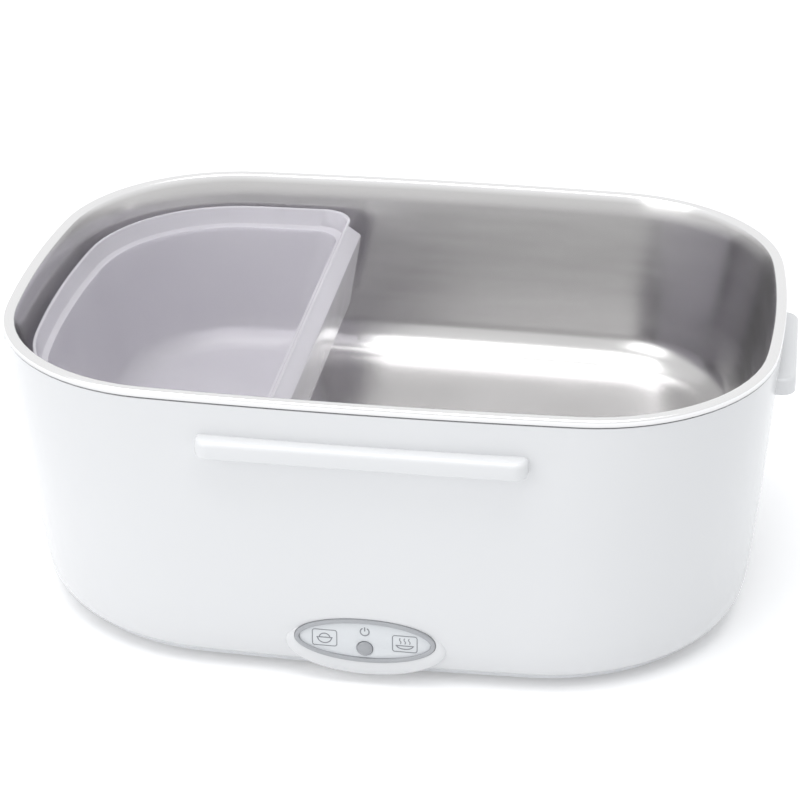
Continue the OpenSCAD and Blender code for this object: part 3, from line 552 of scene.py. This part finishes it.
wall_here = wall_inset(LEDGE_LOW)
front = (-HALF_D - LEDGE_OUT, wall_here + 1.3 - HALF_D)
side = (-HALF_W - LEDGE_OUT, wall_here + 1.6 - HALF_W)
ledges = [
    catch_ledge(LONG_LEDGE, *front, (LEDGE_SHIFT, 0, 0), 0),
    catch_ledge(LONG_LEDGE, *front, (-LEDGE_SHIFT, 0, 0), math.pi),
    catch_ledge(SHORT_LEDGE, *side, (0, 0, 0), math.pi / 2),
    catch_ledge(SHORT_LEDGE, *side, (0, 0, 0), -math.pi / 2),
]
for ledge in ledges:
    settle(ledge)
    print("ledge in mm:", [round(v / MM, 1) for v in ledge.dimensions])

# %% [markdown]
# The front panel sits on an oval boss that grows out of the wall near the base. It is a cylinder,
# scaled to an oval. Its front is inset and pulled forwards, so a shallow slope leads down to the
# wall, and the edge below the slope is bevelled. Boss and wall then lose the same oval slab, a
# millimetre deep: the seat of the ring.

# %% Oval boss
PANEL_X, PANEL_Z = 1.2, 15.0
PANEL_Y = wall_inset(PANEL_Z) - HALF_D - 0.8
BOSS_DROP = 2.3  # the boss's middle lies lower than the panel's
SLOPE_W, SLOPE_RISE = 2.3, 0.75
SHARP = math.radians(50)  # edges sharper than this get a bevel


def oval_plate(length, height, front, back, drop=0.0, vertices=96):
    """An oval slab across the panel, from one depth behind the boss's face to another."""
    bpy.ops.object.select_all(action="DESELECT")
    bpy.ops.mesh.primitive_cylinder_add(
        vertices=vertices, radius=0.5, depth=(back - front) * MM, rotation=(math.pi / 2, 0, 0),
        location=(PANEL_X * MM, (PANEL_Y + (front + back) / 2) * MM, (PANEL_Z - drop) * MM))
    slab = bpy.context.object
    slab.scale = (length * MM, height * MM, 1)
    bpy.ops.object.transform_apply(location=True, rotation=True, scale=True)
    return slab


boss = oval_plate(46, 19, SLOPE_RISE, 7, drop=BOSS_DROP)
pick(boss, lambda f: f.normal.y < -0.9)
bpy.ops.mesh.inset(thickness=SLOPE_W * MM)
bpy.ops.transform.translate(value=(0, -SLOPE_RISE * MM, 0))
leave_edit()
modify(boss, "BEVEL", width=0.9 * MM, segments=6, limit_method="ANGLE", angle_limit=SHARP)
seat = oval_plate(40.5, 14.2, -3, 1.0)
for moulding in (boss, shell):
    modify(moulding, "BOOLEAN", operation="DIFFERENCE", object=seat, solver="EXACT")
bpy.data.objects.remove(seat)
settle(boss)
print("boss in mm:", [round(v / MM, 2) for v in boss.dimensions])

# %% [markdown]
# The power inlet needs its window in the back wall. A cutter in the inlet's own slot shape, a
# little larger, goes through the wall, and a Boolean modifier takes it away.

# %% Cut the inlet's window and join the moulding
WINDOW_W, WINDOW_H = 21.5, 12.9
THROUGH = (66, 90)  # depths in front of and behind the back wall


def slot_block(length, height, low_y, high_y, z):
    """A block with round ends, from one depth to another."""
    bpy.ops.object.select_all(action="DESELECT")
    bpy.ops.mesh.primitive_cube_add(size=1, location=(0, (low_y + high_y) / 2 * MM, z * MM))
    block = bpy.context.object
    block.scale = (length * MM, (high_y - low_y) * MM, height * MM)
    bpy.ops.object.transform_apply(location=True, rotation=True, scale=True)
    pick(block, lambda e: abs(e.verts[0].co.y - e.verts[1].co.y) > MM, "EDGE")
    bpy.ops.mesh.bevel(offset=(height / 2 - HAIR) * MM, segments=12)
    leave_edit()
    return block


inlet_low, inlet_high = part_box("power_inlet")
inlet_z = (inlet_low.z + inlet_high.z) / 2 / MM
window = slot_block(WINDOW_W, WINDOW_H, *THROUGH, inlet_z)
modify(shell, "BOOLEAN", operation="DIFFERENCE", object=window, solver="EXACT")
bpy.data.objects.remove(window)
select_only(shell, boss, *ledges)
bpy.ops.object.join()
select_only(shell)
bpy.ops.object.shade_smooth_by_angle(angle=math.radians(32))

white_shell = moulded(
    "white_shell", (0.785, 0.79, 0.80), 0.24, 900, 0.12, Coat_Weight=0.25, Coat_Roughness=0.12)
hand_over(shell, "body_shell", "housing", white_shell, ["outer_shell"])

# %% [markdown]
# ## Front panel
# A grey ring frames a pale plate with small pictures. The ring is a slab whose two faces are
# inset and bridged through each other, which leaves a clean hoop. The plate has a round hole for
# the lens of the indicator.

# %% Ring, plate and lens
LENS_DROP = 2.6  # the lens sits below the panel's middle

ring_piece = oval_plate(40.2, 13.9, -0.4, 1.0)
pick(ring_piece, lambda f: abs(f.normal.y) > 0.9)
bpy.ops.mesh.inset(thickness=1.25 * MM)
bpy.ops.mesh.bridge_edge_loops()
leave_edit()
modify(ring_piece, "BEVEL", width=0.3 * MM, segments=3, limit_method="ANGLE", angle_limit=SHARP)
settle(ring_piece)
grey_ring = moulded("grey_ring", (0.42, 0.43, 0.45), 0.3, 900, 0.15)
hand_over(ring_piece, "oval_ring", "housing", grey_ring, ["panel_ring"])

plate = oval_plate(37.5, 11.2, 0.2, 1.0)
hole = oval_plate(4.8, 4.8, -2, 3, drop=LENS_DROP, vertices=48)
modify(plate, "BOOLEAN", operation="DIFFERENCE", object=hole, solver="EXACT")
bpy.data.objects.remove(hole)
modify(plate, "BEVEL", width=0.08 * MM, segments=2, limit_method="ANGLE", angle_limit=SHARP)
settle(plate)
pale_plate = moulded("pale_plate", (0.74, 0.76, 0.78), 0.38, 1200, 0.1)
hand_over(plate, "picture_plate", "housing", pale_plate, ["panel_plate"])

bpy.ops.object.select_all(action="DESELECT")
bpy.ops.mesh.primitive_uv_sphere_add(
    segments=48, ring_count=24, radius=2.25 * MM, rotation=(math.pi / 2, 0, 0),
    location=(PANEL_X * MM, PANEL_Y * MM, (PANEL_Z - LENS_DROP) * MM))
lens = bpy.context.object
lens.scale = (1, 1, 0.35)
bpy.ops.object.transform_apply(location=True, rotation=True, scale=True)
pick(lens, lambda v: v.co.y > (PANEL_Y + 0.02) * MM, "VERT")
bpy.ops.transform.resize(value=(1, 0, 1), center_override=(0, (PANEL_Y + 0.9) * MM, 0))
leave_edit()
settle(lens)
grey_lens = moulded("grey_lens", (0.36, 0.37, 0.39), 0.12, 500, 0.05, Coat_Weight=0.5)
hand_over(lens, "lens_dome", "housing", grey_lens, ["indicator_lens"])

# %% [markdown]
# The plate's pictures are printed. Print has next to no thickness, so the lines are modelled as
# very flat tubes that stand a tenth of a millimetre proud. They are drawn as curves, which take a
# round section by themselves, and then made a mesh. The pictures are plain signs: a bowl, a warm
# dish under steam, and a power sign.

# %% Printed signs
PROUD = 0.15  # from the panel's depth to the middle of the print


def stroke(points, width=0.15, closed=False, smooth=False):
    """A line on the panel, from points in millimetres to the right of and above its middle."""
    bpy.ops.object.select_all(action="DESELECT")
    bpy.ops.curve.primitive_nurbs_path_add(location=(0, 0, 0))
    line = bpy.context.object
    line.data.splines.clear()
    spline = line.data.splines.new("NURBS" if smooth else "POLY")
    spline.points.add(len(points) - 1)
    for point, (x, z) in zip(spline.points, points):
        point.co = ((PANEL_X + x) * MM, (PANEL_Y + PROUD) * MM, (PANEL_Z + z) * MM, 1)
    spline.use_cyclic_u = closed
    spline.use_endpoint_u = True
    line.data.bevel_depth = width * MM
    line.data.bevel_resolution = 2
    line.data.use_fill_caps = True
    bpy.ops.object.convert(target="MESH")
    return bpy.context.object


def sign_frame(x, z):
    """The rounded frame round a sign."""
    w, h, r = 3.5, 2.6, 0.7
    points = []
    for cx, cz, angle in ((w - r, h - r, 0), (r - w, h - r, 90), (r - w, r - h, 180), (w - r, r - h, 270)):
        points += arc_points(x + cx, z + cz, r, r, angle, angle + 90, 5)
    return stroke(points, 0.12, closed=True)


LEFT, RIGHT = (-11.5, 0.0), (11.4, -0.1)
strokes = [sign_frame(*LEFT), sign_frame(*RIGHT)]
strokes += [
    stroke(arc_points(LEFT[0], LEFT[1] + 0.1, 2.0, 1.8, 180, 360)),
    stroke([(LEFT[0] - 2.3, 0.1), (LEFT[0] + 2.3, 0.1)]),
    stroke(arc_points(LEFT[0], LEFT[1] + 0.1, 1.5, 1.3, 10, 170)),
    stroke(arc_points(RIGHT[0], RIGHT[1] - 0.6, 2.3, 1.1, 180, 360)),
    stroke([(RIGHT[0] - 2.6, -0.7), (RIGHT[0] + 2.6, -0.7)]),
]
for dx in (-1.3, 0, 1.3):
    wave = [(RIGHT[0] + dx + 0.28 * math.sin(math.pi * i / 3), -0.1 + 0.3 * i) for i in range(7)]
    strokes.append(stroke(wave, 0.12, smooth=True))
strokes.append(stroke(arc_points(0, 2.9, 1.25, 1.25, 120, 420, 24), 0.17))
strokes.append(stroke([(0, 3.1), (0, 4.35)], 0.17))
select_only(*strokes)
bpy.ops.object.join()
signs = bpy.context.object
select_only(signs)
bpy.ops.object.mode_set(mode="EDIT")
bpy.ops.mesh.select_all(action="SELECT")
bpy.ops.transform.resize(value=(1, 0.5, 1), center_override=(0, (PANEL_Y + PROUD) * MM, 0))
leave_edit()
settle(signs, 60)
print_grey = moulded("print_grey", (0.25, 0.26, 0.28), 0.5, 1500, 0.1)
hand_over(signs, "printed_signs", "housing", print_grey)

# %% [markdown]
# ## Steel container
# The container is pressed from one sheet of stainless steel. Its wall slopes, the floor meets it
# in a wide curve, and the rim is flat with an edge rolled down. Because the sheet keeps the same
# section all round, one profile is enough: each point of it becomes a ring of the outline, moved
# in by that much. The finish has faint lines along the wall. A ramp over the height paints the
# steel below the rim darker, as painted shade and reflection, and the rim lighter, as a painted highlight.

# %% Loft the container
SLANT_DEG = 11
SLANT = math.radians(SLANT_DEG)
SLOPE = math.tan(SLANT)
STEEL = 0.6
RIM_W = 3.1
FLOOR_TOP = 37.0
FLOOR_R = 12
# Below these heights the steel gets a darker colour, painted shade and reflection inside the container;
# above them a lighter one, a painted highlight on the rim.
PAINTED_LIGHT_LOW, PAINTED_LIGHT_HIGH = 0.0885, 0.0905  # heights in metres between which the steel gets brighter


def sloped_wall(inset, top, floor_z, radius, steps):
    """Profile from a sloping wall round to a flat floor."""
    centre_z = floor_z + radius
    centre_x = inset + SLOPE * (top - centre_z) + radius / math.cos(SLANT)
    turn = [math.radians(SLANT_DEG + (90 - SLANT_DEG) * i / steps) for i in range(steps + 1)]
    return [(centre_x - radius * math.cos(t), centre_z - radius * math.sin(t)) for t in turn]


rim_edge = arc_points(0.7, RIM_H - 0.7, -0.7, 0.7, 0, 90, 5)
bead = [(0.8, 89.0), (0.62, 88.9), (0.2, 88.94), (0.0, 89.1)]
rim = [(1.4, RIM_H - 0.02), (2.35, RIM_H - 0.04), (2.75, 90.9), (3.02, 90.7), (3.24, 90.3)]
inner = sloped_wall(RIM_W, RIM_H, FLOOR_TOP, FLOOR_R, 12)
steady = [(RIM_W + SLOPE * (RIM_H - z), z) for z in (84, 75, 65, 56)]
outer = sloped_wall(RIM_W - STEEL / math.cos(SLANT), RIM_H, FLOOR_TOP - STEEL, FLOOR_R + STEEL, 10)
profile = bead + rim_edge + rim + steady + inner
under = [(0.8, 90.35), (2.6, 90.4)] + outer
container = loft(box_rings(list(reversed(under)) + profile), cap_first=True, cap_last=True)
settle(container, 40)

stainless = new_finish("stainless_steel", (0.80, 0.795, 0.795), 0.25, metallic=1.0)
lines = grain(stainless, 30, (1, 1, 8), detail=1)
vary_gloss(stainless, lines, 0.20, 0.25)
emboss(stainless, lines, 0.02, 0.01)
tree = stainless.node_tree
place = tree.nodes.new("ShaderNodeTexCoord")
split = tree.nodes.new("ShaderNodeSeparateXYZ")
rise = tree.nodes.new("ShaderNodeMapRange")
rise.inputs["From Min"].default_value = PAINTED_LIGHT_LOW
rise.inputs["From Max"].default_value = PAINTED_LIGHT_HIGH
# Painted light: colour A is painted shade and dark reflection below the rim, colour B a painted highlight
# on the rim.
painted_light_ramp = tree.nodes.new("ShaderNodeMix")
painted_light_ramp.data_type = "RGBA"
painted_light_ramp.inputs["A"].default_value = (0.58, 0.575, 0.575, 1)
painted_light_ramp.inputs["B"].default_value = (0.82, 0.82, 0.825, 1)
tree.links.new(place.outputs["Object"], split.inputs[0])
tree.links.new(split.outputs["Z"], rise.inputs["Value"])
tree.links.new(rise.outputs[0], painted_light_ramp.inputs["Factor"])
tree.links.new(painted_light_ramp.outputs["Result"], tree.nodes["Principled BSDF"].inputs["Base Color"])
hand_over(container, "lift_out_container", "container", stainless, ["steel_container"])

# %% [markdown]
# ## Divider tray
# The tray is pressed from thin milky plastic. Three of its sides follow the container, the fourth
# is a straight wall across it. A step runs round a little below the edge and stiffens it. Its
# outline is the same chain of arcs, with two small corners where the straight wall begins.

# %% Loft the tray
TRAY_TOP = 82.0
TRAY_GAP = 2.8  # between the edge of the tray and the container
TRAY_X = RIM_W + SLOPE * (RIM_H - TRAY_TOP) + TRAY_GAP
STRAIGHT_X = -26.5  # the straight wall
TRAY_R = 9.0  # its two corners
SHEET = 1.2  # thickness


def tray_spans(inset):
    """Spans of the tray's outline, from the back end of its straight wall round to the front end."""
    arcs = outline_arcs(0)
    side, left, move = arcs[2], arcs[4], -TRAY_X - inset
    cx = STRAIGHT_X - inset - TRAY_R
    reach = side[2] + move - TRAY_R
    cy = side[1] + math.sqrt(reach * reach - cx * cx)
    phi = math.pi / 2 + math.atan(-cx / (cy - side[1]))
    sweep_on = math.pi / 2 + SIDE_TURN - phi
    chain = [
        (cx, cy, TRAY_R, 0, phi),
        (0, side[1], side[2] + move, phi, sweep_on),
        (arcs[3][0], arcs[3][1], CORNER_R + move, arcs[3][3], arcs[3][4]),
        (left[0], left[1], left[2] + move, left[3], left[4]),
        (arcs[5][0], arcs[5][1], CORNER_R + move, arcs[5][3], arcs[5][4]),
        (0, -side[1], side[2] + move, 1.5 * math.pi - SIDE_TURN, sweep_on),
        (cx, -cy, TRAY_R, 2 * math.pi - phi, phi),
    ]
    return spans(chain) + [(cx + TRAY_R, -cy, math.pi / 2, 2 * cy / 3)]


def tray_inset(z, floor_z, r):
    """How far the tray's wall lies inside its edge at that height."""
    below = max(0.0, floor_z + r - z)
    return SLOPE * (TRAY_TOP - z) + r - math.sqrt(max(0.0, r * r - below * below))


STEP, STEP_H = 1.8, TRAY_TOP - 5.5
TRAY_LOW = 37.3  # the underside
BEND_OUT, BEND_IN = 7.2, 6.0  # radii between wall and floor, outside and inside
BEND_STEPS = 7
skin = SHEET / math.cos(SLANT)


def curved_levels(floor_z, r):
    """Heights up the curve between floor and wall."""
    turn = [math.pi / 2 * i / BEND_STEPS for i in range(BEND_STEPS + 1)]
    return [floor_z + r * (1 - math.cos(t)) for t in turn]


outer_levels = curved_levels(TRAY_LOW, BEND_OUT) + [60, STEP_H - 1.6]
inner_levels = [60] + list(reversed(curved_levels(TRAY_LOW + SHEET, BEND_IN)))
below_step = [(tray_inset(z, TRAY_LOW, BEND_OUT) + STEP, z) for z in outer_levels]
above_step = [(SLOPE * 6.9 + 0.35, STEP_H - 1.3), (SLOPE * 6.6, STEP_H - 1.0)]
edge = [(0.1, 81.5), (0.3, 81.9), (0.6, TRAY_TOP), (0.95, 81.9), (skin, 81.5)]
inner_step = [
    (SLOPE * 5.3 + skin, STEP_H + 0.4),
    (SLOPE * 5.5 + skin + 0.35, STEP_H + 0.1),
    (SLOPE * 5.5 + skin + 1.3, STEP_H),
    (SLOPE * 5.8 + skin + STEP, STEP_H - 0.4),
]
inner_wall = [(tray_inset(z, TRAY_LOW + SHEET, BEND_IN) + STEP + skin, z) for z in inner_levels]
sections = below_step + above_step + edge + inner_step + inner_wall
tray = loft([ring(tray_spans(inset), z) for inset, z in sections], cap_first=True, cap_last=True)
settle(tray, 40)

# %% [markdown]
# Outside the straight wall a flange slopes down, and a thin skirt hangs from its edge. They have
# one section all along, so a flat curve of that section is given a width, turned upright and
# converted to a mesh.

# %% Flange and skirt of the straight wall
SKIRT = [
    (-0.6, -0.1), (0.0, -0.1), (3.5, -2.6), (3.9, -3.0), (4.0, -3.6),
    (0.2, -27.0), (-1.0, -27.0), (2.7, -4.2), (2.4, -3.6), (-0.6, -1.6),
]
HALF_SKIRT = 61

bpy.ops.object.select_all(action="DESELECT")
bpy.ops.curve.primitive_bezier_circle_add(
    location=(STRAIGHT_X * MM, 0, TRAY_TOP * MM), rotation=(math.pi / 2, 0, 0))
flange = bpy.context.object
flange.data.splines.clear()
section = flange.data.splines.new("POLY")
section.points.add(len(SKIRT) - 1)
for point, (x, z) in zip(section.points, SKIRT):
    point.co = (x * MM, z * MM, 0, 1)
section.use_cyclic_u = True
flange.data.dimensions = "2D"
flange.data.fill_mode = "BOTH"
flange.data.extrude = HALF_SKIRT * MM
bpy.ops.object.convert(target="MESH")
flange = bpy.context.object
settle(flange)
modify(flange, "BEVEL", width=0.3 * MM, segments=3, limit_method="ANGLE", angle_limit=math.radians(40))
settle(flange)
print("flange and skirt in mm:", [round(v / MM, 1) for v in flange.dimensions])
select_only(tray, flange)
bpy.ops.object.join()

milky = new_finish("milky_tray", (0.93, 0.91, 0.96), 0.2, IOR=1.38, Transmission_Weight=0.55)
cloud = grain(milky, 40, detail=1)
vary_color(milky, cloud, (0.92, 0.90, 0.95), (0.94, 0.92, 0.97))
vary_gloss(milky, cloud, 0.17, 0.24)
emboss(milky, grain(milky, 90, detail=0), 0.04, 0.1)
hand_over(tray, "milky_divider_tray", "tray", milky, ["divider_tray"])

# %% [markdown]
# ## Parts under the container
# The rest of the engineering model already has the right shape, so it keeps it and only gets
# finishes: plated and rolled metals with lines, felt with fibres, ceramics, rubber, a green
# circuit board and wire insulation.

# %% Metals
zinc = drawn_metal("zinc_steel", (0.62, 0.63, 0.66), 0.3, (1, 1, 1), 420, 0.3)
shield = drawn_metal("shield_steel", (0.72, 0.73, 0.75), 0.22, (1, 24, 1), 60, 0.25)
aluminium = drawn_metal("plate_aluminium", (0.78, 0.79, 0.80), 0.34, (22, 1, 1), 60, 0.3)
extruded = drawn_metal("heater_tube", (0.80, 0.80, 0.82), 0.42, (1, 20, 20), 60, 0.35)
nickel = drawn_metal("nickel_brass", (0.78, 0.74, 0.62), 0.18, (1, 1, 1), 260, 0.1)
print("metals:", [m.name for m in (zinc, shield, aluminium, extruded, nickel)])

# %% Plastics, rubber and felt
liner_white = moulded("white_liner", (0.80, 0.80, 0.79), 0.5, 800, 0.3)
base_white = moulded("white_base", (0.80, 0.81, 0.83), 0.45, 1100, 0.45)
silicone = moulded("red_silicone", (0.55, 0.12, 0.08), 0.55, 500, 0.3)
foot_rubber = moulded("grey_rubber", (0.07, 0.07, 0.075), 0.8, 900, 0.6)
inlet_black = moulded("black_inlet", (0.02, 0.02, 0.022), 0.42, 900, 0.4)
phenolic = moulded("phenolic", (0.42, 0.30, 0.17), 0.5, 600, 0.4)
sleeve = moulded("ceramic_sleeve", (0.82, 0.80, 0.74), 0.6, 700, 0.4)
crimp = moulded("crimp_sleeve", (0.48, 0.05, 0.04), 0.35, 600, 0.2)
epoxy = moulded("led_epoxy", (0.80, 0.84, 0.80), 0.1, 200, 0.05, Transmission_Weight=0.5)
wire_brown = moulded("brown_wire", (0.16, 0.07, 0.035), 0.4, 700, 0.2)
wire_blue = moulded("blue_wire", (0.04, 0.13, 0.45), 0.4, 700, 0.2)
wire_red = moulded("red_wire", (0.50, 0.03, 0.02), 0.4, 700, 0.2)

felt = new_finish("fibre_felt", (0.80, 0.74, 0.58), 0.95, Sheen_Weight=0.4)
fibres = grain(felt, 700, (1, 1, 2), detail=8)
vary_color(felt, fibres, (0.62, 0.55, 0.40), (0.88, 0.83, 0.68))
emboss(felt, fibres, 0.9, 0.2)

glass_fibre = new_finish("glass_fibre_wire", (0.82, 0.80, 0.72), 0.75)
braid = grain(glass_fibre, 900, (1, 1.6, 1), kind="ShaderNodeTexVoronoi")
vary_color(glass_fibre, braid, (0.88, 0.86, 0.78), (0.60, 0.57, 0.48), 0.0, 0.6)
emboss(glass_fibre, braid, 0.6, 0.08)

# %% Circuit board and resistor
board_green = new_finish("board_green", (0.03, 0.20, 0.08), 0.3)
weave = grain(board_green, 900, kind="ShaderNodeTexVoronoi")
vary_color(board_green, weave, (0.025, 0.17, 0.07), (0.04, 0.24, 0.10), 0.1, 0.7)
emboss(board_green, weave, 0.2, 0.02)

resistor = new_finish("resistor_body", (0.62, 0.48, 0.28), 0.35)
tree = resistor.node_tree
place = tree.nodes.new("ShaderNodeTexCoord")
split = tree.nodes.new("ShaderNodeSeparateXYZ")
span = tree.nodes.new("ShaderNodeMapRange")
span.inputs["From Min"].default_value = -2.1 * MM
span.inputs["From Max"].default_value = 4.3 * MM
bands = tree.nodes.new("ShaderNodeValToRGB")
bands.color_ramp.interpolation = "CONSTANT"
TAN, BROWN, BLACK, RED, GOLD = (
    (0.62, 0.48, 0.28), (0.25, 0.08, 0.03), (0.02, 0.02, 0.02), (0.60, 0.10, 0.03), (0.50, 0.36, 0.10))
colors = [TAN, BROWN, TAN, BLACK, TAN, RED, TAN, GOLD, TAN]
stops = [0.0, 0.14, 0.24, 0.34, 0.44, 0.54, 0.64, 0.8, 0.9]
while len(bands.color_ramp.elements) < len(stops):
    bands.color_ramp.elements.new(0.5)
for element, stop, color in zip(bands.color_ramp.elements, stops, colors):
    element.position, element.color = stop, (*color, 1)
tree.links.new(place.outputs["Object"], split.inputs[0])
tree.links.new(split.outputs["X"], span.inputs["Value"])
tree.links.new(span.outputs[0], bands.inputs[0])
tree.links.new(bands.outputs["Color"], tree.nodes["Principled BSDF"].inputs["Base Color"])

# %% Dress the engineering parts
finishes = {
    "inner_liner": liner_white, "heating_plate": aluminium, "plate_seal": silicone,
    "ceramic_heaters": extruded, "heater_clips": zinc, "heater_clip_screws": zinc,
    "thermostat": phenolic, "thermal_fuse": sleeve, "sensor_clips": zinc,
    "sensor_clip_screws": zinc, "heat_shield": shield, "insulation_pad": felt,
    "shield_screws": zinc, "base_cover": base_white, "base_screws": zinc,
    "rubber_feet": foot_rubber, "power_inlet": inlet_black, "inlet_pins": nickel,
    "inlet_screws": zinc, "crimp_terminals": crimp, "indicator_board": board_green,
    "board_screws": zinc, "indicator_led": epoxy, "board_resistor": resistor,
    "live_wire": wire_brown, "neutral_wire": wire_blue, "heater_bridge_wire": glass_fibre,
    "indicator_wires": wire_red,
}
for node, material in finishes.items():
    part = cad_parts[node]
    part.data.materials.clear()
    part.data.materials.append(material)
print("finished parts:", len(finishes))

# %% [markdown]
# ## Colour view
# Colours render as they are written, with the Standard view transform. The dressed
# model has to stay in the engineering model's box.

# %% Set the view transform
bpy.context.scene.view_settings.view_transform = "Standard"
